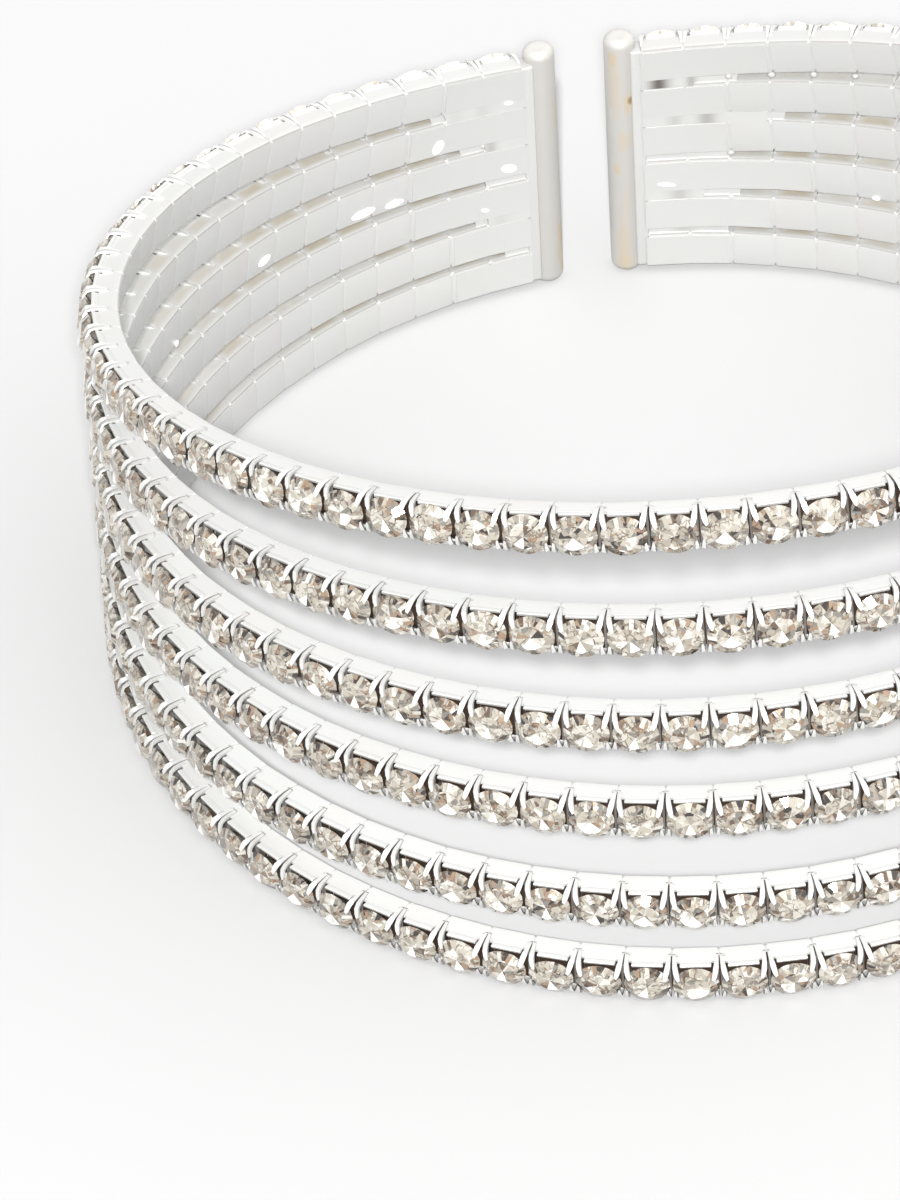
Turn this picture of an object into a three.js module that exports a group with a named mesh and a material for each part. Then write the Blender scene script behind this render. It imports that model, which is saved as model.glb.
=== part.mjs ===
// Cuff bangle: six rows of square stone cups, soldered at the back to two upright end bars.
// Millimetres, +Z up, the bangle standing on its lower rim. The rows lie close together at the
// bars, where the wrist gap is (+Y), and spread apart towards the front (-Y).

import * as THREE from 'three';

// Cups, in one row.
const cupPitch = 2.4;
const cupsPerRow = 76;
const cupsPerStep = 2;

// End bars and the gap between them that the wrist passes through.
const barRadius = 0.87;
const barLength = 15.8;
const barEndFlatRadius = 0.35;
const barSides = 16;
const barRoundingSteps = 4;
const wristGap = 2.75;
const solderJointGap = 0.3;

// The rows' midline is a circle: its circumference is the cups, the bars and the gap.
const rowLength = cupsPerRow * cupPitch;
const circumference = rowLength + 2 * solderJointGap + 4 * barRadius + wristGap;
const ringRadius = circumference / (2 * Math.PI);
const barAngle = (rowLength / 2 + solderJointGap + barRadius) / ringRadius;
const rowEndAngle = rowLength / 2 / ringRadius;

// Heights of each row's middle, at the bars and at the front, from the bottom row up.
const rowHeights = [
  { atBars: 1.45, atFront: 1.12 },
  { atBars: 3.96, atFront: 5.93 },
  { atBars: 6.47, atFront: 11.85 },
  { atBars: 8.98, atFront: 17.3 },
  { atBars: 11.49, atFront: 23.1 },
  { atBars: 14.0, atFront: 29.1 },
];
// A row stays low near the bars and then climbs; its cups lean back by the slope of the climb.
const climbExponent = 0.877;
const leanExponent = 0.41;

// Section of a row: a cup with a narrower back, its rim, and the stone that stands out of it.
const cupBack = { out: -0.81, halfHeight: 0.94 };
const cupRimRear = { out: 0.3, halfHeight: 1.1 };
const cupRimFront = { out: 0.81, halfHeight: 1.1 };
const stoneTable = { out: 1.24, halfHeight: 0.55 };

const silver = new THREE.MeshStandardMaterial({ color: 0xe6e6e4, roughness: 0.22, metalness: 1.0 });
const barSilver = new THREE.MeshStandardMaterial({ color: 0xdcdbd6, roughness: 0.3, metalness: 1.0 });

// Outline of a row across its length, x outwards from the wrist and y up.
function rowSection() {
  const lowerEdge = [cupBack, cupRimRear, cupRimFront, stoneTable];
  const outline = lowerEdge.map((p) => new THREE.Vector2(p.out, -p.halfHeight));
  for (const p of lowerEdge.slice().reverse()) {
    outline.push(new THREE.Vector2(p.out, p.halfHeight));
  }
  return new THREE.Shape(outline);
}

// Midline of a row, from the bar on the right (+X) round the front to the bar on the left.
class RowRoute extends THREE.Curve {
  constructor(heights) {
    super();
    this.heights = heights;
    const rise = heights.atFront - heights.atBars;
    this.slopeAngle = Math.atan2(rise, 2 * ringRadius);
  }

  // Angle from the front, positive towards +X.
  angleAt(share) {
    return rowEndAngle * (1 - 2 * share);
  }

  // How far round to the front a place is: 1 at the front, 0 at the back.
  frontShare(angle) {
    return (1 + Math.cos(angle)) / 2;
  }

  getPoint(share, target = new THREE.Vector3()) {
    const angle = this.angleAt(share);
    const { atBars, atFront } = this.heights;
    const climb = Math.pow(this.frontShare(angle), climbExponent);
    const depth = ringRadius * (1 + Math.cos(angle)) * Math.cos(this.slopeAngle);
    const height = atBars + (atFront - atBars) * climb;
    return target.set(ringRadius * Math.sin(angle), ringRadius - depth, height);
  }

  // Outward direction, leaning back with the row's slope and square to the row.
  outwardAt(share, tangent) {
    const angle = this.angleAt(share);
    const lean = this.slopeAngle * Math.pow(this.frontShare(angle), leanExponent);
    const outward = new THREE.Vector3(Math.sin(angle), -Math.cos(angle), 0);
    outward.multiplyScalar(Math.cos(lean));
    outward.z = Math.sin(lean);
    outward.addScaledVector(tangent, -outward.dot(tangent));
    return outward.normalize();
  }

  // Section directions for the extrusion, so that no cup twists along the way.
  computeFrenetFrames(segments) {
    const tangents = [];
    const normals = [];
    const binormals = [];
    for (let i = 0; i <= segments; i += 1) {
      const tangent = this.getTangentAt(i / segments);
      const outward = this.outwardAt(this.getUtoTmapping(i / segments), tangent);
      tangents.push(tangent);
      normals.push(outward);
      binormals.push(new THREE.Vector3().crossVectors(tangent, outward));
    }
    return { tangents, normals, binormals };
  }
}

function makeRow(heights, name) {
  const geometry = new THREE.ExtrudeGeometry(rowSection(), {
    steps: cupsPerRow / cupsPerStep,
    extrudePath: new RowRoute(heights),
  });
  const row = new THREE.Mesh(geometry, silver);
  row.name = name;
  return row;
}

// Half of the bar's outline, from the axis at its foot to the axis at its top.
function barProfile() {
  const rounding = barRadius - barEndFlatRadius;
  const foot = [];
  for (let i = 0; i <= barRoundingSteps; i += 1) {
    const turn = (i / barRoundingSteps) * (Math.PI / 2);
    const radius = barEndFlatRadius + rounding * Math.sin(turn);
    foot.push(new THREE.Vector2(radius, rounding * (1 - Math.cos(turn))));
  }
  const top = foot.map((p) => new THREE.Vector2(p.x, barLength - p.y)).reverse();
  return [new THREE.Vector2(0, 0), ...foot, ...top, new THREE.Vector2(0, barLength)];
}

function makeEndBar(side, name) {
  const geometry = new THREE.LatheGeometry(barProfile(), barSides);
  geometry.rotateX(Math.PI / 2);
  const bar = new THREE.Mesh(geometry, barSilver);
  bar.position.set(side * ringRadius * Math.sin(barAngle), -ringRadius * Math.cos(barAngle), 0);
  bar.name = name;
  return bar;
}

const cuff = new THREE.Group();
rowHeights.forEach((heights, index) => cuff.add(makeRow(heights, `chain_row_${index + 1}`)));
cuff.add(makeEndBar(-1, 'end_bar_left'));
cuff.add(makeEndBar(1, 'end_bar_right'));

// The origin is under the middle of the whole cuff, on the surface that it stands on.
const extent = new THREE.Box3().setFromObject(cuff, true);
const middle = extent.getCenter(new THREE.Vector3());
cuff.position.set(-middle.x, -middle.y, -extent.min.z);

export default cuff;
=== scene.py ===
import math
import random

import bmesh
import bpy
from mathutils import Matrix, Vector


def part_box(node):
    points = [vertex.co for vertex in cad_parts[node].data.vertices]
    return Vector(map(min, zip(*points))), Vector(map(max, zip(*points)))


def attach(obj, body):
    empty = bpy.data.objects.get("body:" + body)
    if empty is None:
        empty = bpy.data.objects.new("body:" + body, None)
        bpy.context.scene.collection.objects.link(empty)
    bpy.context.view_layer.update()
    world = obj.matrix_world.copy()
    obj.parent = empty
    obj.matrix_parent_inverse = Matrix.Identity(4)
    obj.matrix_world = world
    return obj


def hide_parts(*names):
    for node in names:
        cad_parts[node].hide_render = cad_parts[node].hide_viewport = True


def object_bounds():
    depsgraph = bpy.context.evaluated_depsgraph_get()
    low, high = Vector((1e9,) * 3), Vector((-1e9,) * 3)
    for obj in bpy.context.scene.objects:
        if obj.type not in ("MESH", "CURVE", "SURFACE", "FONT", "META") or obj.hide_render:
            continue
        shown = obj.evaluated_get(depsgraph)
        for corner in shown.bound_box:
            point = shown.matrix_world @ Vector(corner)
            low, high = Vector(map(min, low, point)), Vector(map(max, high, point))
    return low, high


# Cuff bangle: rows of square cups with clear stones, soldered at the back to two upright bars.
# The frame gives the bars; the ring's radius and place are worked out from them.

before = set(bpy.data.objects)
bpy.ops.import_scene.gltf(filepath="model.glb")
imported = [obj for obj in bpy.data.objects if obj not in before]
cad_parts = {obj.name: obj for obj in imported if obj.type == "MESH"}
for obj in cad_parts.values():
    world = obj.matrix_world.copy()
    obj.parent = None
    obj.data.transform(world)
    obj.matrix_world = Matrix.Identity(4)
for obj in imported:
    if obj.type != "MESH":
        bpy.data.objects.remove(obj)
frameLow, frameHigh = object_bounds()
mm = 0.001
random.seed(11)


# the rows' route, the same curve as the frame's solids; climb and lean are the powers that shape how a row
# rises and leans back from the bars to the front
chain = dict(
    rows=6,
    cups=76,
    pitch=2.4 * mm,
    jointGap=0.3 * mm,
    lowestAtBars=1.45 * mm,
    rowStepAtBars=2.51 * mm,
    frontHeights=[1.12 * mm, 5.93 * mm, 11.85 * mm, 17.3 * mm, 23.1 * mm, 29.1 * mm],
    climb=0.877,
    lean=0.41,
    tangentStep=0.001,
)

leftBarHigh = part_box("end_bar_left")[1]
rightBarLow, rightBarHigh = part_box("end_bar_right")
barRadius = (rightBarHigh.x - rightBarLow.x) / 2
barCentreX = (rightBarLow.x + rightBarHigh.x) / 2
barCentreY = (rightBarLow.y + rightBarHigh.y) / 2
wristGap = rightBarLow.x - leftBarHigh.x
rowLength = chain["cups"] * chain["pitch"]
ringRadius = (rowLength + 2 * chain["jointGap"] + 4 * barRadius + wristGap) / (2 * math.pi)
barAngle = (rowLength / 2 + chain["jointGap"] + barRadius) / ringRadius
ringY = barCentreY + ringRadius * math.cos(barAngle)
rowEnd = chain["cups"] / 2


def frontShare(angle):
    # 1 at the front of the ring, 0 at the back
    return max(1 + math.cos(angle), 0) / 2


def rowHeights(row):
    return chain["lowestAtBars"] + row * chain["rowStepAtBars"], chain["frontHeights"][row]


def rowSlope(row):
    atBars, atFront = rowHeights(row)
    return math.atan2(atFront - atBars, 2 * ringRadius)


def rowMiddle(row, angle):
    atBars, atFront = rowHeights(row)
    depth = 2 * ringRadius * frontShare(angle) * math.cos(rowSlope(row))
    height = atBars + (atFront - atBars) * frontShare(angle) ** chain["climb"]
    return Vector((ringRadius * math.sin(angle), ringY + ringRadius - depth, height))


def cupMatrix(row, place):
    # place counts cups from the middle of the front, positive towards +X;
    # in the cup's own axes x runs along the row, y up and z out of the ring
    angle = place * chain["pitch"] / ringRadius
    step = chain["tangentStep"]
    along = (rowMiddle(row, angle + step) - rowMiddle(row, angle - step)).normalized()
    lean = rowSlope(row) * frontShare(angle) ** chain["lean"]
    level = math.cos(lean)
    outward = Vector((math.sin(angle) * level, -math.cos(angle) * level, math.sin(lean)))
    outward = (outward - outward.dot(along) * along).normalized()
    up = outward.cross(along)
    turn = Matrix((along, up, outward)).transposed().to_4x4()
    return Matrix.Translation(rowMiddle(row, angle)) @ turn


def frontShareAt(place):
    return frontShare(place * chain["pitch"] / ringRadius)


def asShare(value):
    # keeps a value between 0 and 1
    return min(max(value, 0.0), 1.0)


def closeness(place):
    # 1 where the rows lie close together near the bars, 0 where they have spread
    return asShare(1.6 - 2.6 * frontShareAt(place))


# shader maths
class Wire:
    # a node socket: arithmetic adds Math nodes, add() puts in any other node
    def __init__(self, tree, socket=None):
        self.tree = tree
        self.socket = socket

    def add(self, kind, settings=None, sockets=None, output=0):
        node = self.tree.nodes.new("ShaderNode" + kind)
        for name, value in (settings or {}).items():
            if name == "stops":
                ramp = node.color_ramp
                while len(ramp.elements) < len(value):
                    ramp.elements.new(1.0)
                for element, (position, colour) in zip(ramp.elements, value):
                    element.position = position
                    element.color = (*colour, 1.0)
            elif name == "steps":
                node.color_ramp.interpolation = value
            else:
                setattr(node, name, value)
        for name, value in (sockets or {}).items():
            if isinstance(value, Wire):
                self.tree.links.new(value.socket, node.inputs[name])
            else:
                node.inputs[name].default_value = value
        return Wire(self.tree, node.outputs[output])

    def maths(self, operation, first, second):
        return self.add("Math", {"operation": operation}, {0: first, 1: second})

    def __add__(self, other):
        return self.maths("ADD", self, other)

    def __radd__(self, other):
        return self.maths("ADD", other, self)

    def __sub__(self, other):
        return self.maths("SUBTRACT", self, other)

    def __rsub__(self, other):
        return self.maths("SUBTRACT", other, self)

    def __mul__(self, other):
        return self.maths("MULTIPLY", self, other)

    def __rmul__(self, other):
        return self.maths("MULTIPLY", other, self)


def newMaterial(name):
    # returns the material, a wire to start from and its shader node
    material = bpy.data.materials.new(name)
    material.use_nodes = True
    tree = material.node_tree
    tree.nodes.clear()
    shader = tree.nodes.new("ShaderNodeBsdfPrincipled")
    output = tree.nodes.new("ShaderNodeOutputMaterial")
    tree.links.new(shader.outputs[0], output.inputs[0])
    return material, Wire(tree), shader


def wireTo(value, shader, name):
    if isinstance(value, Wire):
        value.tree.links.new(value.socket, shader.inputs[name])
    else:
        shader.inputs[name].default_value = value


def colourMix(start, share, first, second):
    return start.add("Mix", {"data_type": "RGBA"}, {0: share, 6: first, 7: second}, output=2)


def objectPlace(start):
    return start.add("TexCoord", output=3)


def noiseAt(start, size, detail=3.0, seed=0.0):
    settings = {"noise_dimensions": "4D"}
    sockets = {"Vector": objectPlace(start), "W": seed, "Scale": 1 / size, "Detail": detail}
    return start.add("TexNoise", settings, sockets)


def between(start, value, low, high):
    # 0 below low, 1 above high
    return start.add("MapRange", {"clamp": True}, {0: value, 1: low, 2: high, 3: 0.0, 4: 1.0})


def vectorMaths(start, operation, first, second, output=0):
    sockets = {0: first} if second is None else {0: first, 1: second}
    return start.add("VectorMath", {"operation": operation}, sockets, output)


def spotAt(start, centre, size, ragged):
    # 1 inside an oval spot, fading to 0 at its uneven edge
    away = vectorMaths(start, "SUBTRACT", objectPlace(start), tuple(centre))
    away = vectorMaths(start, "MULTIPLY", away, tuple(1 / side for side in size))
    distance = vectorMaths(start, "LENGTH", away, None, output=1)
    return 1 - between(start, distance + ragged, 0.8, 1.5)


# small helpers for meshes
def finishPiece(bm, name, materials, smoothAngle=None):
    mesh = bpy.data.meshes.new(name)
    bm.to_mesh(mesh)
    bm.free()
    for material in materials:
        mesh.materials.append(material)
    if smoothAngle is not None:
        mesh.shade_smooth()
        mesh.set_sharp_from_angle(angle=math.radians(smoothAngle))
    piece = bpy.data.objects.new(name, mesh)
    bpy.context.scene.collection.objects.link(piece)
    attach(piece, "root")
    return piece


def toMesh(bm, name):
    bmesh.ops.recalc_face_normals(bm, faces=bm.faces)
    mesh = bpy.data.meshes.new(name)
    bm.to_mesh(mesh)
    bm.free()
    return mesh


def addCopy(bm, mesh, matrix):
    # joins a copy of a small mesh to bm and returns its vertices and faces
    vertStart, faceStart = len(bm.verts), len(bm.faces)
    bm.from_mesh(mesh)
    bm.verts.ensure_lookup_table()
    bm.faces.ensure_lookup_table()
    bmesh.ops.transform(bm, matrix=matrix, verts=bm.verts[vertStart:])
    return bm.verts[vertStart:], bm.faces[faceStart:]


def addBlock(bm, low, high):
    # a box between two corners; returns its vertices
    low, high = Vector(low), Vector(high)
    place = Matrix.Translation((low + high) / 2) @ Matrix.Diagonal((*(high - low), 1))
    return bmesh.ops.create_cube(bm, size=1, matrix=place)["verts"]


def softenEdges(bm, edges, width, steps):
    bmesh.ops.bevel(bm, geom=edges, offset=width, offset_type="OFFSET", segments=steps, profile=0.5,
                    affect="EDGES", clamp_overlap=True, material=-1)


# finishes
plate = dict(
    rosy=(0.56, 0.554, 0.544, 1),
    green=(0.552, 0.558, 0.544, 1),
    beige=(0.54, 0.516, 0.464, 1),
    edge=(0.29, 0.284, 0.272, 1),
    patch=(0.44, 0.40, 0.32, 1),
    oxideAndShade=(0.03, 0.019, 0.013, 1),
    backShadeGain=0.81,
    specular=0.2,
    metallic=0.45,
    roughness=0.38,
    edgeRoughness=0.42,
    recessShadeDepth=0.95,
    recessShadeCloud=0.2,
    shadeAndSpotRoughness=0.3,
    cloudSize=2.2 * mm,
    beigeSize=5.0 * mm,
    beigeShare=0.25,
    grainSize=0.16 * mm,
    grainDepth=0.02 * mm,
    grainStrength=0.1,
)


def readAttribute(start, name):
    return start.add("Attribute", {"attribute_name": name}, output=2)


def plateColour(start):
    # shade differs from cup to cup, back gives the backs a darker base colour as painted shade, edge
    # darkens and roughens faces where the rows are close, painted shade where they face the lamps, grime
    # makes brownish patches between the rows, partly tarnish and partly painted shade under the row above,
    # recess paints shade with some oxide into the gaps, and dark the spots in the solder
    cloud = noiseAt(start, plate["cloudSize"])
    yellowed = between(start, noiseAt(start, plate["beigeSize"], 2.0, 9.0), 0.55, 0.75)
    colour = colourMix(start, readAttribute(start, "shade"), plate["rosy"], plate["green"])
    colour = colourMix(start, yellowed * plate["beigeShare"], colour, plate["beige"])
    # the backs take a darker base colour: painted shade
    dull = vectorMaths(start, "MULTIPLY", colour, (plate["backShadeGain"],) * 3)
    colour = colourMix(start, readAttribute(start, "back"), colour, dull)
    # faces marked edge take a darker colour near the bars: painted shade where they face the lamps
    colour = colourMix(start, readAttribute(start, "edge"), colour, plate["edge"])
    grime = readAttribute(start, "grime")
    # brownish patches between the rows: partly tarnish, partly painted shade under the row above
    colour = colourMix(start, grime * (0.5 + cloud), colour, plate["patch"])
    # recess darkens gaps and hollows towards a near-black brown, painted shade with some oxide, and dark
    # adds the solder spots
    recessShadeAndSpots = readAttribute(start, "recess") * (plate["recessShadeDepth"] + cloud * plate["recessShadeCloud"])
    recessShadeAndSpots = recessShadeAndSpots + readAttribute(start, "dark")
    colour = colourMix(start, recessShadeAndSpots, colour, plate["oxideAndShade"])
    return colour, recessShadeAndSpots


def finishPlate(start, shader, colour, recessShadeAndSpots, wear):
    grain = noiseAt(start, plate["grainSize"], seed=3.0)
    wireTo(colour, shader, "Base Color")
    roughness = plate["roughness"] + wear * plate["edgeRoughness"] + recessShadeAndSpots * plate["shadeAndSpotRoughness"]
    wireTo(roughness, shader, "Roughness")
    bump = start.add("Bump", None, {"Strength": plate["grainStrength"], "Distance": plate["grainDepth"],
                                    "Height": grain})
    wireTo(bump, shader, "Normal")
    wireTo(plate["metallic"] * (1 - recessShadeAndSpots), shader, "Metallic")
    wireTo(plate["specular"], shader, "Specular IOR Level")


def makePlateMaterial():
    material, start, shader = newMaterial("silverPlating")
    colour, recessShadeAndSpots = plateColour(start)
    finishPlate(start, shader, colour, recessShadeAndSpots, readAttribute(start, "edge"))
    return material


# brown marks on the bars: turn round the bar from its inner side in degrees, height, width and length
# in mm, and depth of colour; the inner side, facing the lamps, has a darker base colour as painted shade,
# and the sides a lighter one as painted light
barStains = dict(
    right=[
        (26, 11.8, 0.16, 0.22, 0.95),
        (24, 11.6, 0.35, 0.60, 0.35),
        (-38, 14.7, 0.25, 0.40, 0.40),
        (-36, 12.8, 0.34, 1.70, 0.22),
        (-9, 9.1, 0.22, 0.60, 0.26),
        (28, 9.2, 0.20, 0.50, 0.20),
        (87, 5.5, 0.26, 0.70, 0.50),
        (62, 7.1, 0.20, 0.90, 0.30),
        (-35, 7.2, 0.18, 0.35, 0.32),
        (-7, 4.9, 0.20, 0.80, 0.14),
        (-18, 2.0, 0.34, 1.50, 0.26),
        (-14, 0.7, 0.34, 0.50, 0.22),
        (80, 13.6, 0.30, 0.70, 0.30),
    ],
    left=[
        (58, 3.4, 0.24, 0.60, 0.42),
        (56, 2.0, 0.30, 1.10, 0.30),
        (74, 0.9, 0.28, 0.50, 0.55),
        (50, 11.4, 0.20, 0.90, 0.14),
        (-60, 9.0, 0.30, 0.90, 0.12),
    ],
    colour=(0.44, 0.32, 0.16, 1),
    darkColour=(0.12, 0.08, 0.04, 1),
    raggedSize=0.7 * mm,
    raggedness=0.9,
    wear=0.6,
    innerShadeTint=(0.655, 0.645, 0.625, 1),
    sideLightTint=(0.86, 0.85, 0.83, 1),
)


def makeBarMaterial(name, side, stains):
    material, start, shader = newMaterial(name)
    colour, recessShadeAndSpots = plateColour(start)
    # painted shade on the inner side and painted light on the sides
    inward = barCentreY - start.add("SeparateXYZ", None, {0: objectPlace(start)}, output=1)
    inner = between(start, inward * (1 / barRadius), 0.1, 0.95)
    tint = colourMix(start, inner, barStains["sideLightTint"], barStains["innerShadeTint"])
    colour = vectorMaths(start, "MULTIPLY", colour, tint)
    ragged = noiseAt(start, barStains["raggedSize"], 3.0, 4.0) - 0.5
    ragged = ragged * barStains["raggedness"]
    for turn, height, width, length, depth in stains:
        turn = math.radians(turn)
        centre = (side * barCentreX + barRadius * math.sin(turn), barCentreY - barRadius * math.cos(turn),
                  height * mm)
        spot = spotAt(start, centre, (width * mm, width * mm, length * mm), ragged)
        stainColour = barStains["darkColour"] if depth > 0.9 else barStains["colour"]
        colour = colourMix(start, spot * depth, colour, stainColour)
    finishPlate(start, shader, colour, recessShadeAndSpots, barStains["wear"])
    return material


# what a stone shows, painted into its base colour: the reflections and highlights inside a clear stone, as
# tones from dark to white, broken into cells and crossed by fine dark lines
stoneFinish = dict(
    tones=[
        (0.0, (0.03, 0.025, 0.022)),
        (0.11, (0.11, 0.075, 0.05)),
        (0.18, (0.27, 0.185, 0.125)),
        (0.25, (0.19, 0.18, 0.16)),
        (0.33, (0.30, 0.27, 0.225)),
        (0.45, (0.395, 0.365, 0.305)),
        (0.59, (0.485, 0.46, 0.405)),
        (0.74, (0.60, 0.585, 0.54)),
        (0.88, (0.82, 0.81, 0.79)),
    ],
    cellSize=0.34 * mm,
    cellShare=0.4,
    lineSpacing=0.42 * mm,
    linePatch=0.5 * mm,
    lineDepth=0.9,
    lineColour=(0.12, 0.085, 0.06, 1),
    flawSize=0.12 * mm,
    flawRoughness=0.08,
    roughness=0.08,
    metallic=0.5,
    coatRoughness=0.02,
)


def makeStoneMaterial():
    material, start, shader = newMaterial("clearStone")
    facet = readAttribute(start, "facet")
    flaw = noiseAt(start, stoneFinish["flawSize"], 2.0, 5.0)
    settings = {"voronoi_dimensions": "4D"}
    sockets = {"Vector": objectPlace(start), "W": facet * 9, "Scale": 1 / stoneFinish["cellSize"]}
    cells = start.add("TexVoronoi", settings, sockets, output=1)
    cellTone = start.add("SeparateXYZ", None, {0: cells}, output=0)
    tone = facet * (1 - stoneFinish["cellShare"]) + cellTone * stoneFinish["cellShare"]
    colour = start.add("ValToRGB", {"steps": "CONSTANT", "stops": stoneFinish["tones"]}, {"Fac": tone})
    settings = {"voronoi_dimensions": "4D", "feature": "DISTANCE_TO_EDGE"}
    sockets = {"Vector": objectPlace(start), "W": facet * 9 + 4, "Scale": 1 / stoneFinish["lineSpacing"]}
    line = 1 - between(start, start.add("TexVoronoi", settings, sockets), 0.02, 0.07)
    line = line * between(start, noiseAt(start, stoneFinish["linePatch"], 1.0, 7.0), 0.47, 0.55)
    line = line * (1 - between(start, facet, 0.75, 1.0) * 0.7)  # white facets have few
    colour = colourMix(start, line * stoneFinish["lineDepth"], colour, stoneFinish["lineColour"])
    wireTo(colour, shader, "Base Color")
    wireTo(stoneFinish["roughness"] + flaw * stoneFinish["flawRoughness"], shader, "Roughness")
    wireTo(stoneFinish["metallic"], shader, "Metallic")
    wireTo(1.0, shader, "Coat Weight")
    wireTo(stoneFinish["coatRoughness"], shader, "Coat Roughness")
    return material


# near-white drops that show as white glints: painted highlight
dropGlintFinish = dict(pale=(1, 1, 0.99, 1), dull=(0.97, 0.97, 0.96, 1), cloudSize=0.5 * mm, roughness=0.2)


def makeDropMaterial():
    material, start, shader = newMaterial("solderPaintedGlint")
    cloud = noiseAt(start, dropGlintFinish["cloudSize"], 2.0, 6.0)
    wireTo(colourMix(start, cloud, dropGlintFinish["pale"], dropGlintFinish["dull"]), shader, "Base Color")
    wireTo(dropGlintFinish["roughness"] + cloud * 0.1, shader, "Roughness")
    return material


plateMaterial = makePlateMaterial()
stoneMaterial = makeStoneMaterial()
dropMaterial = makeDropMaterial()
print("finishes made")


# cups: back, rim, floor and patchOut are places on the cup's z, a half is half a width and half a height,
# recess says how much painted shade a face takes in gaps and hollows, and edge how much darker and
# rougher it looks near the bars, painted shade where it faces the lamps
cup = dict(
    back=-0.86 * mm,
    rim=0.22 * mm,
    floor=-0.2 * mm,
    wall=0.12 * mm,
    backHalf=(1.15 * mm, 1.10 * mm),
    rimHalf=(1.175 * mm, 1.0 * mm),
    upperEdge=0.20 * mm,
    lowerEdge=0.09 * mm,
    endEdge=0.11 * mm,
    sideRecess=0.85,
    rimRecess=0.8,
    levelShade=0.05,
    openRowShade=0.2,
    patchInset=0.16 * mm,
    patchOut=(-0.38 * mm, 0.0),
    patchShare=0.5,
    wobble=1,
    paleBack=0.8,
    paleSides=0.65,
    tarnishAndShadeRange=(0.15, 1.1),
    tarnishAndShadeCups=(6, 15),
)


def newUnit():
    # a mesh for one small shape, with the marks that the plating reads
    bm = bmesh.new()
    for name in ("recess", "shade", "edge", "back"):
        bm.faces.layers.float.new(name)
    for name in ("grime", "dark"):
        bm.verts.layers.float.new(name)
    return bm


def makeTub():
    # square dish with a rounded back
    bm = newUnit()
    recess, edge, back = (bm.faces.layers.float[name] for name in ("recess", "edge", "back"))
    grime = bm.verts.layers.float["grime"]
    bmesh.ops.create_cube(bm, size=2)
    for vert in bm.verts:
        isBack = vert.co.z < 0
        halfWidth, halfHeight = cup["backHalf"] if isBack else cup["rimHalf"]
        vert.co = (vert.co.x * halfWidth, vert.co.y * halfHeight, cup["back"] if isBack else cup["rim"])
    for side, width in ((1, cup["upperEdge"]), (-1, cup["lowerEdge"])):
        longEdges = [line for line in bm.edges if all(vert.co.z < 0 for vert in line.verts)
                     and all(side * vert.co.y > 0.9 * mm for vert in line.verts)]
        softenEdges(bm, longEdges, width, 3)
    bm.normal_update()
    endEdges = [line for line in bm.edges
                if any(abs(face.normal.x) > 0.8 for face in line.link_faces)
                and all(vert.co.z < cup["back"] + cup["upperEdge"] * 1.05 for vert in line.verts)]
    softenEdges(bm, endEdges, cup["endEdge"], 2)
    bm.normal_update()
    for face in bm.faces:
        isSide, isLevel = abs(face.normal.x) > 0.95, abs(face.normal.y) > 0.9
        isBack = face.normal.z < -0.9 or (face.normal.z < -0.3 and abs(face.normal.x) > 0.3)
        # painted shade: the sides, seen in the gaps between stones, are dark, the backs take the darker
        # back colour, and faces other than backs and levels take the darker edge colour near the bars
        face[recess] = cup["sideRecess"] if isSide else 0.0
        face[back] = 1.0 if isBack else 0.0
        face[edge] = cup["levelShade"] if isLevel else 0.0 if isBack else 1.0
    levels = [face for face in bm.faces if abs(face.normal.y) > 0.99]
    bmesh.ops.inset_individual(bm, faces=levels, thickness=cup["patchInset"], use_even_offset=True)
    for face in levels:
        middle = face.calc_center_median().z
        for vert in face.verts:
            vert.co.z = cup["patchOut"][0] if vert.co.z < middle else cup["patchOut"][1]
            vert.co.x *= cup["patchShare"]
            towardsRim = (vert.co.z - cup["back"]) / (cup["rim"] - cup["back"])
            halfHeight = cup["backHalf"][1] + (cup["rimHalf"][1] - cup["backHalf"][1]) * towardsRim
            vert.co.y = math.copysign(halfHeight, vert.co.y)
            # the inset patch on each level carries the brownish patch, partly tarnish and partly painted
            # shade
            vert[grime] = 1.0
    front = max(bm.faces, key=lambda face: face.calc_center_median().z)
    rim = bmesh.ops.inset_region(bm, faces=[front], thickness=cup["wall"], use_even_offset=True)["faces"]
    # the rim beside the stone is painted dark as shade between the stones
    for face in rim:
        face[recess] = cup["rimRecess"] if abs(face.calc_center_median().x) > 0.5 * mm else 0.0
    sunk = bmesh.ops.extrude_face_region(bm, geom=[front])
    sunkVerts = [item for item in sunk["geom"] if isinstance(item, bmesh.types.BMVert)]
    bmesh.ops.translate(bm, vec=(0, 0, cup["floor"] - cup["rim"]), verts=sunkVerts)
    # the hollow under the stone is painted near-black as shade
    for vert in sunkVerts:
        for face in vert.link_faces:
            face[recess] = 1.0
    bmesh.ops.delete(bm, geom=[front], context="FACES_ONLY")
    return toMesh(bm, "tub")


# lips: inner, neck and outer are heights over the stone's middle; neckRear, rear and front are on the
# cup's z
lip = dict(
    halfWidth=0.80 * mm,
    inner=0.88 * mm,
    neck=0.985 * mm,
    outer=1.045 * mm,
    neckRear=0.1 * mm,
    rear=0.42 * mm,
    front=0.60 * mm,
    edge=0.04 * mm,
    neckRecess=0.1,
    frontShadow=0.5,
)


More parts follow.
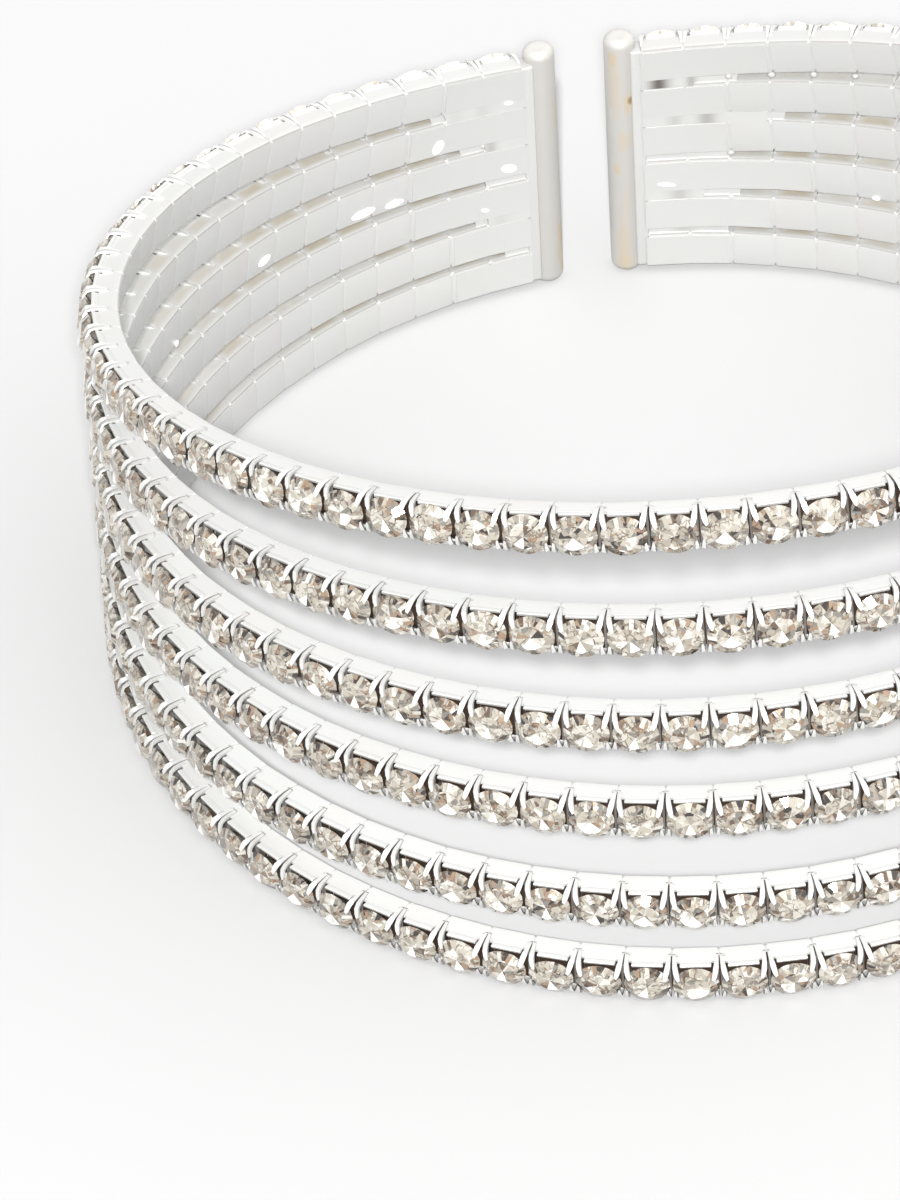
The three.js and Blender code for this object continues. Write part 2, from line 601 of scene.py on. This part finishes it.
def makeLips():
    # the two lips that hold the stone above and below, each behind a shallow groove with faint painted
    # shade; the lip's front face is painted dark as the shadow it throws on the stone
    bm = newUnit()
    recess = bm.faces.layers.float["recess"]
    halfWidth = lip["halfWidth"]
    addBlock(bm, (-halfWidth, lip["inner"], lip["neckRear"]), (halfWidth, lip["neck"], lip["rear"]))
    for face in bm.faces:
        face[recess] = lip["neckRecess"]
    ridge = addBlock(bm, (-halfWidth, lip["inner"], lip["rear"]), (halfWidth, lip["outer"], lip["front"]))
    ridge = set(ridge)
    frontEdges = [edge for edge in bm.edges if all(vert in ridge for vert in edge.verts)
                  and max(vert.co.z for vert in edge.verts) > lip["front"] - lip["edge"]]
    softenEdges(bm, frontEdges, lip["edge"], 1)
    bm.normal_update()
    # the front faces are painted dark: painted shadow
    for face in bm.faces:
        if face.normal.z > 0.9:
            face[recess] = lip["frontShadow"]
    bmesh.ops.mirror(bm, geom=bm.verts[:] + bm.edges[:] + bm.faces[:], axis="Y", merge_dist=0.0)
    return toMesh(bm, "lips")


# one line for each section of a prong, from its root on the cup's side to its tip on the stone: its place
# and size in mm, and how far it leans over the stone in degrees
prongSections = [
    dict(along=1.10, up=1.035, out=-0.34, width=0.12, thick=0.02, tilt=0),
    dict(along=1.095, up=1.05, out=-0.20, width=0.15, thick=0.10, tilt=0),
    dict(along=1.085, up=1.05, out=-0.02, width=0.17, thick=0.12, tilt=0),
    dict(along=1.07, up=1.04, out=0.20, width=0.20, thick=0.13, tilt=4),
    dict(along=1.04, up=1.00, out=0.60, width=0.25, thick=0.12, tilt=22),
    dict(along=1.00, up=0.88, out=0.85, width=0.28, thick=0.12, tilt=52),
    dict(along=0.94, up=0.64, out=0.97, width=0.26, thick=0.11, tilt=70),
    dict(along=0.86, up=0.42, out=1.04, width=0.16, thick=0.08, tilt=80),
]
# a lower prong stays beside the stone
lowerTips = [
    dict(along=1.06, up=0.90, out=0.80, width=0.23, thick=0.10, tilt=45),
    dict(along=1.05, up=0.64, out=0.93, width=0.20, thick=0.09, tilt=70),
    dict(along=1.04, up=0.42, out=0.97, width=0.13, thick=0.07, tilt=80),
]
prong = dict(
    lowerReach=0.97,
    rootOut=-0.2 * mm,
    rootRecess=0.6,
    seamRecess=0.75,
    stoneRecess=0.45,
    lowerRecess=0.1,
)


def prongPlace(section):
    # the section's flat rectangle, turned towards the stone as the prong bends over it
    place = Matrix.Translation(Vector((section["along"], section["up"], section["out"])) * mm)
    turnIn = Matrix.Rotation(math.radians(-section["tilt"] * 0.5), 4, "Z")
    bend = Matrix.Rotation(math.radians(section["tilt"]), 4, "X")
    return place @ turnIn @ bend @ Matrix.Diagonal((section["width"] * mm, section["thick"] * mm, mm, 1))


def makeProngPair(sections):
    # the two prongs along one side of the cup
    bm = newUnit()
    recess = bm.faces.layers.float["recess"]
    bmesh.ops.create_grid(bm, x_segments=1, y_segments=1, size=0.5)
    unit = [vert.co.copy() for vert in bm.verts]
    bmesh.ops.transform(bm, matrix=prongPlace(sections[0]), verts=bm.verts)
    end = bm.faces[:]
    current = bm.verts[:]
    for section in sections[1:]:
        grown = bmesh.ops.extrude_face_region(bm, geom=end, use_keep_orig=True)
        if section is not sections[1]:
            bmesh.ops.delete(bm, geom=end, context="FACES_ONLY")
        end = [item for item in grown["geom"] if isinstance(item, bmesh.types.BMFace)]
        newVerts = [item for item in grown["geom"] if isinstance(item, bmesh.types.BMVert)]
        ordered = [min(newVerts, key=lambda vert: (vert.co - old.co).length) for old in current]
        for vert, corner in zip(ordered, unit):
            vert.co = prongPlace(section) @ corner
        current = ordered
    bm.normal_update()
    # painted shade: the roots inside the cup and the sides facing the seam and the stone are darker, as
    # dark outlines
    for face in bm.faces:
        if face.calc_center_median().z < prong["rootOut"]:
            face[recess] = prong["rootRecess"]
        elif face.normal.x > 0.6:
            face[recess] = prong["seamRecess"]
        elif face.normal.x < -0.7:
            face[recess] = prong["stoneRecess"]
    bmesh.ops.mirror(bm, geom=bm.verts[:] + bm.edges[:] + bm.faces[:], axis="X", merge_dist=0.0)
    return toMesh(bm, "prongs")


def makeProngs():
    bm = newUnit()
    mirrored = Matrix.Rotation(math.pi, 4, "Z") @ Matrix.Diagonal((-1, prong["lowerReach"], 1, 1))
    addCopy(bm, makeProngPair(prongSections), Matrix.Identity(4))
    recess = bm.faces.layers.float["recess"]
    # the lower prongs take a little painted shade
    for face in addCopy(bm, makeProngPair(prongSections[:5] + lowerTips), mirrored)[1]:
        face[recess] = max(face[recess], prong["lowerRecess"])
    return toMesh(bm, "prongs")


link = dict(
    halfWidth=0.3 * mm,
    halfHeight=1.04 * mm,
    back=-0.83 * mm,
    front=-0.15 * mm,
    edge=0.2 * mm,
    recess=0.12,
    backRecess=0.03,
)


def makeLink():
    # strip that joins one cup's back to the next
    bm = newUnit()
    recess, edge, back = (bm.faces.layers.float[name] for name in ("recess", "edge", "back"))
    addBlock(bm, (-link["halfWidth"], -link["halfHeight"], link["back"]),
             (link["halfWidth"], link["halfHeight"], link["front"]))
    backEdges = [line for line in bm.edges if all(vert.co.z < link["back"] * 0.9 for vert in line.verts)
                 and abs(line.verts[0].co.y - line.verts[1].co.y) < 0.1 * mm]
    softenEdges(bm, backEdges, link["edge"], 2)
    bm.normal_update()
    # painted shade: the front face, seen between the stones, is near-black and the sides and back slightly
    # dark; the back face takes the darker back colour and faces other than back and levels the edge colour
    # near the bars
    for face in bm.faces:
        face[back] = 1.0 if face.normal.z < -0.9 else 0.0
        if face.normal.z > 0.9:
            face[recess] = 1.0
        else:
            face[recess] = link["backRecess"] if face[back] else link["recess"]
        face[edge] = cup["levelShade"] if abs(face.normal.y) > 0.9 else 1.0 - face[back]
    return toMesh(bm, "link")


tubMesh, lipMesh, prongMesh, linkMesh = makeTub(), makeLips(), makeProngs(), makeLink()
for unitMesh in (tubMesh, lipMesh, prongMesh, linkMesh):
    print(unitMesh.name, "has", len(unitMesh.polygons), "faces")


def makeCupRow(row):
    # painted shade in the gaps is weaker away from the front, and the brownish patches, partly tarnish and
    # partly painted shade, are strongest in the cups next to the bars
    bm = newUnit()
    shade, edge, recess = (bm.faces.layers.float[name] for name in ("shade", "edge", "recess"))
    grime = bm.verts.layers.float["grime"]
    tarnishAndShadeFrom, tarnishAndShadeTo = cup["tarnishAndShadeCups"]
    covered = row < chain["rows"] - 1
    for count in range(chain["cups"]):
        place = count - (chain["cups"] - 1) / 2
        wobble = random.uniform(-cup["wobble"], cup["wobble"])
        matrix = cupMatrix(row, place) @ Matrix.Rotation(math.radians(wobble), 4, "Z")
        shadeHere = random.random()
        near = closeness(place)
        beside = asShare(1.5 - 1.7 * frontShareAt(place))
        paler = max(cup["paleBack"] * near, cup["paleSides"] * beside)
        away = asShare((rowEnd - abs(place) - tarnishAndShadeFrom) / (tarnishAndShadeTo - tarnishAndShadeFrom))
        # only rows with a row above get patches, partly tarnish and partly painted shade
        tarnishAndShadeHere = near * random.uniform(*cup["tarnishAndShadeRange"]) * (1 - 0.9 * away) if covered else 0.0
        for mesh in (tubMesh, lipMesh, prongMesh):
            verts, faces = addCopy(bm, mesh, matrix)
            for face in faces:
                face[shade] = shadeHere
                # the open top row takes the darker edge colour too: painted shade where it faces the lamps
                if face[edge] > 0 and not covered:
                    face[edge] = max(face[edge], cup["openRowShade"])
                face[edge] *= near
                # painted shade in the gaps is weakened where the rows lie close
                face[recess] *= 1 - paler
            for vert in verts:
                vert[grime] *= tarnishAndShadeHere
        if count < chain["cups"] - 1:
            for face in addCopy(bm, linkMesh, cupMatrix(row, place + 0.5))[1]:
                face[shade] = shadeHere
                face[edge] *= near
    piece = finishPiece(bm, f"cupRow{row + 1}", [plateMaterial], smoothAngle=20)
    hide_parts(f"chain_row_{row + 1}")
    return piece


for rowNumber in range(chain["rows"]):
    makeCupRow(rowNumber)
print("cup rows made")


# stones: girdle, table and culet are places on the cup's z, mainTilt and starTilt are shares of the
# crown's slope, and tilt in degrees, sink and stretch set a stone in its cup
stone = dict(
    radius=1.075 * mm,
    girdle=0.88 * mm,
    table=1.205 * mm,
    tableRadius=0.64 * mm,
    mainTilt=1.05,
    starTilt=0.55,
    starRadius=0.985,
    culet=0.1 * mm,
    culetRadius=0.25 * mm,
    tilt=3,
    sink=0.03 * mm,
    stretch=1.09,
)


def cutFacets(bm, count, firstTurn, tilt, radius, out):
    # cuts a ring of flat facets; each plane passes radius from the axis at the height out
    for number in range(count):
        turn = math.radians(firstTurn + 360 * number / count)
        across = Vector((math.cos(turn), math.sin(turn), 0))
        normal = across * math.sin(math.radians(tilt)) + Vector((0, 0, math.cos(math.radians(tilt))))
        point = across * radius + Vector((0, 0, out))
        cut = bmesh.ops.bisect_plane(bm, geom=bm.verts[:] + bm.edges[:] + bm.faces[:], plane_co=point,
                                     plane_no=normal, clear_outer=True, dist=1e-8)
        rim = [item for item in cut["geom_cut"] if isinstance(item, bmesh.types.BMEdge)]
        if rim:
            bmesh.ops.edgeloop_fill(bm, edges=rim)


def makeStone():
    # cut as a gem is: a cone for the back, then table, stars, mains and girdle facets on the crown
    bm = bmesh.new()
    slope = (stone["radius"] - stone["culetRadius"]) / (stone["girdle"] - stone["culet"])
    frontRadius = stone["radius"] + slope * (stone["table"] - stone["girdle"])
    height = stone["table"] - stone["culet"]
    place = Matrix.Translation((0, 0, (stone["table"] + stone["culet"]) / 2))
    bmesh.ops.create_cone(bm, cap_ends=True, segments=16, radius1=stone["culetRadius"],
                          radius2=frontRadius, depth=height, matrix=place)
    crownRun = stone["radius"] - stone["tableRadius"]
    crownTilt = math.degrees(math.atan2(stone["table"] - stone["girdle"], crownRun))
    starRadius = stone["tableRadius"] * stone["starRadius"]
    cutFacets(bm, 8, 22.5, crownTilt, stone["tableRadius"], stone["table"])
    cutFacets(bm, 8, 0, crownTilt * stone["mainTilt"], stone["radius"], stone["girdle"])
    cutFacets(bm, 8, 0, crownTilt * stone["starTilt"], starRadius, stone["table"])
    # lines where the back's facets show through the table
    for number in range(4):
        turn = math.radians(22.5 + 45 * number)
        across = Vector((math.cos(turn), math.sin(turn), 0))
        bmesh.ops.bisect_plane(bm, geom=bm.verts[:] + bm.edges[:] + bm.faces[:], plane_co=(0, 0, 0),
                               plane_no=across, dist=1e-8)
    bmesh.ops.remove_doubles(bm, verts=bm.verts, dist=0.003 * mm)
    return toMesh(bm, "stone")


stoneMesh = makeStone()
print("stone has", len(stoneMesh.polygons), "faces")


# how light facets are painted: some white low in the middle as a painted highlight, some dark under the
# upper lip as painted shadow, and the others mixed painted reflections, darker towards the rim
facetPaintedLight = dict(
    highlightReach=0.75 * mm,
    highlightHalfWidth=0.27 * mm,
    highlightBelow=-0.15 * mm,
    highlightShare=0.8,
    highlight=(1.3, 1.6),
    lipShadowAbove=0.86 * mm,
    lipShadowShare=0.75,
    dark=(-0.2, 0.1),
    highest=0.98,
    rimFrom=0.8 * mm,
    rimWidth=0.25 * mm,
    rimDrop=0.25,
    calmTone=0.44,
    calmShare=0.75,
    backReflectionGain=0.7,
)


def facetPaintedTone(centre, calm, pale):
    # calm stones, round the sides, are more even, and those at the back are pale, a painted reflection
    tones, spread = facetPaintedLight, centre.xy.length
    isLow = abs(centre.x) < tones["highlightHalfWidth"] and centre.y < tones["highlightBelow"]
    if spread < tones["highlightReach"] and isLow and random.random() < tones["highlightShare"]:
        return random.uniform(*tones["highlight"])
    if centre.y > tones["lipShadowAbove"] and random.random() < tones["lipShadowShare"] * (1 - calm):
        return random.uniform(*tones["dark"]) + 0.3 * calm
    rim = max(0.0, spread - tones["rimFrom"]) / tones["rimWidth"]
    tint = asShare(random.random() * tones["highest"] - tones["rimDrop"] * rim)
    calmTone = tones["calmTone"] + tones["backReflectionGain"] * pale
    return tint + (calmTone - tint) * tones["calmShare"] * calm


def makeStoneRow(row):
    bm = bmesh.new()
    facet = bm.faces.layers.float.new("facet")
    for count in range(chain["cups"]):
        place = count - (chain["cups"] - 1) / 2
        matrix = cupMatrix(row, place)
        share = frontShareAt(place)
        # stones round the sides are evened out, and those at the back paler, a painted reflection
        calm, pale = asShare(1.3 - 1.6 * share), asShare(1 - 2 * share)
        turned = Matrix.Rotation(random.uniform(0, math.tau), 4, "Z")
        spin = Matrix.Diagonal((stone["stretch"], 1, 1, 1)) @ turned
        tilt = Matrix.Rotation(math.radians(random.uniform(-stone["tilt"], stone["tilt"])), 4, "X")
        sink = Matrix.Translation((0, 0, -random.random() * stone["sink"]))
        toCup = matrix.inverted()
        for face in addCopy(bm, stoneMesh, matrix @ sink @ tilt @ spin)[1]:
            face[facet] = facetPaintedTone(toCup @ face.calc_center_median(), calm, pale)
    return finishPiece(bm, f"stoneRow{row + 1}", [stoneMaterial])


for rowNumber in range(chain["rows"]):
    makeStoneRow(rowNumber)
print("stone rows made")


# end bars
bar = dict(footRadius=0.35 * mm, steps=48, roundSteps=6)


def makeEndBar(side, name, material):
    low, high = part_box(name)
    rounding = barRadius - bar["footRadius"]
    points = [Vector((0, 0, low.z))]
    for step in range(bar["roundSteps"] + 1):
        turn = math.pi / 2 * step / bar["roundSteps"]
        points.append(Vector((bar["footRadius"] + rounding * math.sin(turn), 0,
                              low.z + rounding * (1 - math.cos(turn)))))
    middle = (low.z + high.z) / 2
    points += [Vector((point.x, 0, 2 * middle - point.z)) for point in reversed(points)]
    bm = bmesh.new()
    verts = [bm.verts.new(point) for point in points]
    edges = [bm.edges.new(pair) for pair in zip(verts, verts[1:])]
    bmesh.ops.spin(bm, geom=verts + edges, axis=(0, 0, 1), cent=(0, 0, 0), angle=math.tau,
                   steps=bar["steps"], use_merge=True)
    bmesh.ops.remove_doubles(bm, verts=bm.verts, dist=0.001 * mm)
    bmesh.ops.translate(bm, vec=((low.x + high.x) / 2, (low.y + high.y) / 2, 0), verts=bm.verts)
    bmesh.ops.recalc_face_normals(bm, faces=bm.faces)
    pieceName = name.replace("_", "") + "Plated"
    piece = finishPiece(bm, pieceName, [material], smoothAngle=40)
    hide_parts(name)
    return piece


leftBarMaterial = makeBarMaterial("wornPlatingLeft", -1, barStains["left"])
rightBarMaterial = makeBarMaterial("wornPlatingRight", 1, barStains["right"])
makeEndBar(-1, "end_bar_left", leftBarMaterial)
makeEndBar(1, "end_bar_right", rightBarMaterial)
print("end bars made")


# solder
# sheetCups: cups from the bar over which solder hides the seams, lowest row first
# webs: cups from the bar over which solder closes the gap above each row, lowest row first
# covers: the same for solder that lies level with the cups' backs
# spots: dark spots in the webs as lower row from 1, cups from the bar, half width in cups, depth
# lumps: lower row from 1 and place in cups from the bar
solder = dict(
    sheetCups=dict(left=[2, 2, 3, 3, 3, 2], right=[2, 3, 4, 2, 2, 3]),
    sheetOut=-0.875 * mm,
    sheetThick=0.08 * mm,
    sheetHeights=(-1.0 * mm, 0.90 * mm),
    sheetSteps=4,
    shade=0.6,
    webs=dict(left=[0.6, 1.3, 1.0, 1.6, 2.3], right=[1.9, 2.2, 2.0, 3.3, 2.2]),
    covers=dict(left=[0, 1.0, 0, 1.0, 1.95], right=[0, 1.35, 0, 2.9, 1.2]),
    spots=dict(
        left=[(4, 0.86, 0.16, 0.4), (5, 1.0, 0.2, 0.15), (5, 1.7, 0.2, 0.12), (2, 0.7, 0.25, 0.12)],
        right=[(5, 0.37, 0.26, 0.9), (5, 1.13, 0.12, 0.55), (4, 0.72, 0.20, 0.28), (4, 1.47, 0.24, 0.5),
               (2, 0.77, 0.24, 0.32), (1, 0.87, 0.30, 0.28), (1, 1.6, 0.3, 0.15), (3, 0.9, 0.5, 0.05)],
    ),
    webOut=-0.68 * mm,
    webThick=0.25 * mm,
    webHeight=1.0 * mm,
    webSteps=10,
    coverOut=-0.85 * mm,
    coverThick=0.15 * mm,
    coverHeight=0.97 * mm,
    seamOut=(-0.79 * mm, 0.3 * mm),
    seamHeights=(0.42 * mm, 15.05 * mm),
    seamFromRow=0.30 * mm,
    seamHalfWidth=0.36 * mm,
    seamEdge=0.12 * mm,
    nubCups=24,
    nubSize=(0.13 * mm, 0.08 * mm, 0.13 * mm),
    nubPlace=(0.98 * mm, -0.70 * mm),
    nubDarkening=0.35,
    lumps=dict(left=[(4, 1)], right=[(5, 2), (5, 3), (5, 4), (5, 5), (3, 2)]),
    lumpSize=(0.26 * mm, 0.20 * mm, 0.20 * mm),
    lumpOut=-0.60 * mm,
    lumpDarkening=0.6,
    barSide=0.04,
)
sides = dict(left=-1, right=1)


def addPlate(bm, lower, upper, ends, steps, out, thick):
    # a thin plate bent along the rows; lower and upper are each a row and a height on its cup
    first, last = ends
    segments = max(1, math.ceil(steps * abs(last - first)))
    grid = bmesh.ops.create_grid(bm, x_segments=segments, y_segments=1, size=0.5)
    for vert in grid["verts"]:
        row, up = lower if vert.co.y < 0 else upper
        place = first + (last - first) * (vert.co.x + 0.5)
        vert.co = cupMatrix(row, place) @ Vector((0, up, out))
    faces = list({face for vert in grid["verts"] for face in vert.link_faces})
    # solder faces take the darker back colour: painted shade
    for face in faces:
        face[bm.faces.layers.float["back"]] = 1.0
        face[bm.faces.layers.float["shade"]] = solder["shade"]
    grown = bmesh.ops.extrude_face_region(bm, geom=faces, use_keep_orig=True)
    for item in grown["geom"]:
        if isinstance(item, bmesh.types.BMVert):
            item.co += Vector((item.co.x, item.co.y - ringY, 0)).normalized() * thick
    return grid["verts"]


def addWeb(bm, kind, row, side, cups, spots):
    # solder between two rows, with soft dark spots where it is thin
    height, out, thick = (solder[kind + name] for name in ("Height", "Out", "Thick"))
    ends = (side * (rowEnd - cups), side * (rowEnd + solder["barSide"]))
    verts = addPlate(bm, (row, height), (row + 1, -height), ends, solder["webSteps"], out, thick)
    dark = bm.verts.layers.float["dark"]
    for vert in verts:
        angle = math.atan2(abs(vert.co.x), ringY - vert.co.y)
        fromBar = rowEnd - angle * ringRadius / chain["pitch"]
        for spotRow, middle, halfWidth, depth in spots:
            if spotRow == row + 1:
                vert[dark] += depth * math.exp(-((fromBar - middle) / halfWidth) ** 2)


def makeSeam():
    # the fill between a bar and the ends of the rows
    bm = newUnit()
    halfWidth, back = solder["seamHalfWidth"], bm.faces.layers.float["back"]
    verts = addBlock(bm, (-halfWidth, solder["seamOut"][0], solder["seamHeights"][0]),
                     (halfWidth, solder["seamOut"][1], solder["seamHeights"][1]))
    softenEdges(bm, list({edge for vert in verts for edge in vert.link_edges}), solder["seamEdge"], 3)
    # the seam takes the darker back colour: painted shade
    for face in bm.faces:
        face[back] = 1.0
        face[bm.faces.layers.float["shade"]] = solder["shade"]
    return toMesh(bm, "seam")


def makeBall(rings, steps):
    bm = newUnit()
    bmesh.ops.create_uvsphere(bm, u_segments=steps, v_segments=rings, radius=1)
    return toMesh(bm, "ball")


def makeSolder():
    bm = newUnit()
    for sideName, side in sides.items():
        for row, cups in enumerate(solder["sheetCups"][sideName]):
            ends = (side * (rowEnd - cups + 0.1), side * (rowEnd + solder["barSide"]))
            lower, upper = ((row, height) for height in solder["sheetHeights"])
            addPlate(bm, lower, upper, ends, solder["sheetSteps"], solder["sheetOut"],
                     solder["sheetThick"])
        for kind in ("web", "cover"):
            for row, cups in enumerate(solder[kind + "s"][sideName]):
                if cups:
                    addWeb(bm, kind, row, side, cups, solder["spots"][sideName])
    bmesh.ops.recalc_face_normals(bm, faces=bm.faces)
    edge = bm.faces.layers.float["edge"]
    seamMesh, nubMesh = makeSeam(), makeBall(6, 10)
    for sideName, side in sides.items():
        angle = side * (rowLength / 2 + solder["seamFromRow"]) / ringRadius
        seamX, seamY = ringRadius * math.sin(angle), ringY - ringRadius * math.cos(angle)
        place = Matrix.Translation((seamX, seamY, 0)) @ Matrix.Rotation(angle + math.pi, 4, "Z")
        addCopy(bm, seamMesh, place)
        for row in range(chain["rows"] - 1):
            up, out = solder["nubPlace"]
            for count in range(1, solder["nubCups"]):
                size = [value * random.uniform(0.7, 1.2) for value in solder["nubSize"]]
                matrix = cupMatrix(row, side * (rowEnd - count)) @ Matrix.Translation((0, up, out))
                # nubs near the bars take the darker edge colour and a rougher finish
                for face in addCopy(bm, nubMesh, matrix @ Matrix.Diagonal((*size, 1)))[1]:
                    face[edge] = solder["nubDarkening"] * closeness(rowEnd - count)
        for row, count in solder["lumps"][sideName]:
            place = side * (rowEnd - count)
            matrix = cupMatrix(row - 1, place)
            matrix.translation = (matrix.translation + cupMatrix(row, place).translation) / 2
            size = [value * random.uniform(0.8, 1.1) for value in solder["lumpSize"]]
            matrix = matrix @ Matrix.Translation((0, 0, solder["lumpOut"])) @ Matrix.Diagonal((*size, 1))
            # lumps take the darker edge colour and a rougher finish
            for face in addCopy(bm, nubMesh, matrix)[1]:
                face[edge] = solder["lumpDarkening"]
    return finishPiece(bm, "solderSeams", [plateMaterial], smoothAngle=50)


makeSolder()

# bright drops on the inside, painted near-white as a highlight: row from 1, side, cups from the bar,
# height on the cup, half width and half height in mm, turn in degrees
brightDrops = [
    (5, -1, 2.17, -0.46, 0.31, 0.48, 25),
    (4, -1, 0.43, -0.44, 0.46, 0.27, 15),
    (4, -1, 4.27, -0.56, 0.80, 0.29, -2),
    (4, -1, 3.40, -0.68, 0.60, 0.23, -2),
    (6, -1, 0.34, -1.10, 0.27, 0.12, 5),
    (3, -1, 1.07, -0.38, 0.24, 0.10, 15),
    (4, -1, 7.40, -0.38, 0.50, 0.28, -10),
    (4, -1, 11.17, -0.94, 0.16, 0.20, 0),
    (3, 1, 0.47, -0.56, 0.52, 0.10, 10),
    (3, 1, 5.47, -0.98, 0.24, 0.12, 0),
]
dropShape = dict(out=-0.90 * mm, thick=0.08 * mm)


def makeDrops():
    bm = newUnit()
    ballMesh = makeBall(8, 16)
    for row, side, cups, up, halfWidth, halfHeight, turn in brightDrops:
        matrix = cupMatrix(row - 1, side * (rowEnd - cups))
        matrix = matrix @ Matrix.Translation((0, up * mm, dropShape["out"]))
        matrix = matrix @ Matrix.Rotation(math.radians(turn), 4, "Z")
        size = Matrix.Diagonal((halfWidth * mm, halfHeight * mm, dropShape["thick"], 1))
        addCopy(bm, ballMesh, matrix @ size)
    return finishPiece(bm, "solderDrops", [dropMaterial], smoothAngle=60)


makeDrops()
print("solder made")


# floor, light and camera; gapSpread is the outer and inner reach in degrees of the dim gap
studio = dict(
    floorTone=0.38,
    floorHalf=1.5,
    floorDrop=0.01 * mm,
    zenith=1.03,
    horizon=0.79,
    rightGain=0.9,
    gapTone=0.7,
    gapSpread=(17.0, 7.0),
)
# the far lamp, with angles in degrees
keyLamp = dict(azimuth=-10.3, elevation=41.4, spread=1.5, strength=3.0)
# a lamp just behind the camera, with the same light at every distance
fill = dict(behind=30 * mm, radius=13 * mm, power=49)
view = dict(
    azimuth=-8.41,
    elevation=39.8,
    roll=-3.07,
    distance=495.3 * mm,
    aim=(-13.86 * mm, -4.92 * mm, 7.2 * mm),
    lens=285.7,
)


def fromAngles(azimuth, elevation):
    a, e = math.radians(azimuth), math.radians(elevation)
    return Vector((math.sin(a) * math.cos(e), -math.cos(a) * math.cos(e), math.sin(e)))


def makeFloor():
    bm = bmesh.new()
    place = Matrix.Translation((0, 0, frameLow.z - studio["floorDrop"]))
    bmesh.ops.create_grid(bm, x_segments=1, y_segments=1, size=studio["floorHalf"], matrix=place)
    mesh = bpy.data.meshes.new("floor")
    bm.to_mesh(mesh)
    bm.free()
    material, start, shader = newMaterial("floorPaper")
    tone = studio["floorTone"]
    wireTo((tone, tone, tone, 1), shader, "Base Color")
    wireTo(0.9, shader, "Roughness")
    wireTo(0.0, shader, "Specular IOR Level")
    mesh.materials.append(material)
    floor = bpy.data.objects.new("floor", mesh)
    bpy.context.scene.collection.objects.link(floor)


def makeWorld():
    # pale all round, brighter overhead and to the right; plating mirrors a dim gap between the lamps
    world = bpy.data.worlds.new("studio")
    world.use_nodes = True
    tree = world.node_tree
    tree.nodes.clear()
    start = Wire(tree)
    direction = start.add("TexCoord", output=0)
    height = start.add("SeparateXYZ", None, {0: direction}, output=2)
    tone = studio["horizon"] + (studio["zenith"] - studio["horizon"]) * between(start, height, 0.0, 0.6)
    rightward = start.add("SeparateXYZ", None, {0: direction}, output=0)
    tone = tone * (1 + studio["rightGain"] * between(start, rightward, 0.0, 1.0))
    gapMiddle = fromAngles(view["azimuth"], view["elevation"])
    nearness = vectorMaths(start, "DOT_PRODUCT", direction, tuple(gapMiddle), output=1)
    outer, inner = (math.cos(math.radians(spread)) for spread in studio["gapSpread"])
    tone = tone * (1 - (1 - studio["gapTone"]) * between(start, nearness, outer, inner))
    background = start.add("Background", None, {"Color": (1, 1, 1, 1), "Strength": tone})
    output = tree.nodes.new("ShaderNodeOutputWorld")
    tree.links.new(background.socket, output.inputs[0])
    bpy.context.scene.world = world


def makeKeyLamp():
    lamp = bpy.data.lights.new("keyLight", "SUN")
    lamp.energy = keyLamp["strength"]
    lamp.angle = math.radians(keyLamp["spread"])
    lampObject = bpy.data.objects.new("keyLight", lamp)
    towards = fromAngles(keyLamp["azimuth"], keyLamp["elevation"])
    lampObject.rotation_euler = towards.to_track_quat("Z", "Y").to_euler()
    lampObject.location = towards * 0.5
    bpy.context.scene.collection.objects.link(lampObject)


def makeFill(camera):
    lamp = bpy.data.lights.new("fillLight", "POINT")
    lamp.energy = fill["power"]
    lamp.shadow_soft_size = fill["radius"]
    lamp.use_nodes = True
    tree = lamp.node_tree
    tree.nodes.clear()
    steady = Wire(tree).add("LightFalloff", None, {"Strength": 1.0}, output=2)
    shining = steady.add("Emission", None, {"Color": (1, 1, 1, 1), "Strength": steady})
    output = tree.nodes.new("ShaderNodeOutputLight")
    tree.links.new(shining.socket, output.inputs[0])
    lampObject = bpy.data.objects.new("fillLight", lamp)
    back = fromAngles(view["azimuth"], view["elevation"])
    lampObject.location = camera.matrix_world.translation + back * fill["behind"]
    bpy.context.scene.collection.objects.link(lampObject)


def makeCamera():
    cam = bpy.data.cameras.new("camera")
    cam.lens = view["lens"]
    cam.clip_end = 10
    camera = bpy.data.objects.new("camera", cam)
    back = fromAngles(view["azimuth"], view["elevation"])
    turn = back.to_track_quat("Z", "Y").to_matrix().to_4x4()
    aim = Vector(view["aim"]) + Vector((0, ringY, 0))
    place = Matrix.Translation(aim + back * view["distance"])
    camera.matrix_world = place @ turn @ Matrix.Rotation(math.radians(view["roll"]), 4, "Z")
    bpy.context.scene.collection.objects.link(camera)
    bpy.context.scene.camera = camera
    return camera


makeFloor()
makeWorld()
makeKeyLamp()
makeFill(makeCamera())
bpy.context.scene.view_settings.view_transform = "Standard"
print("floor, light and camera made")
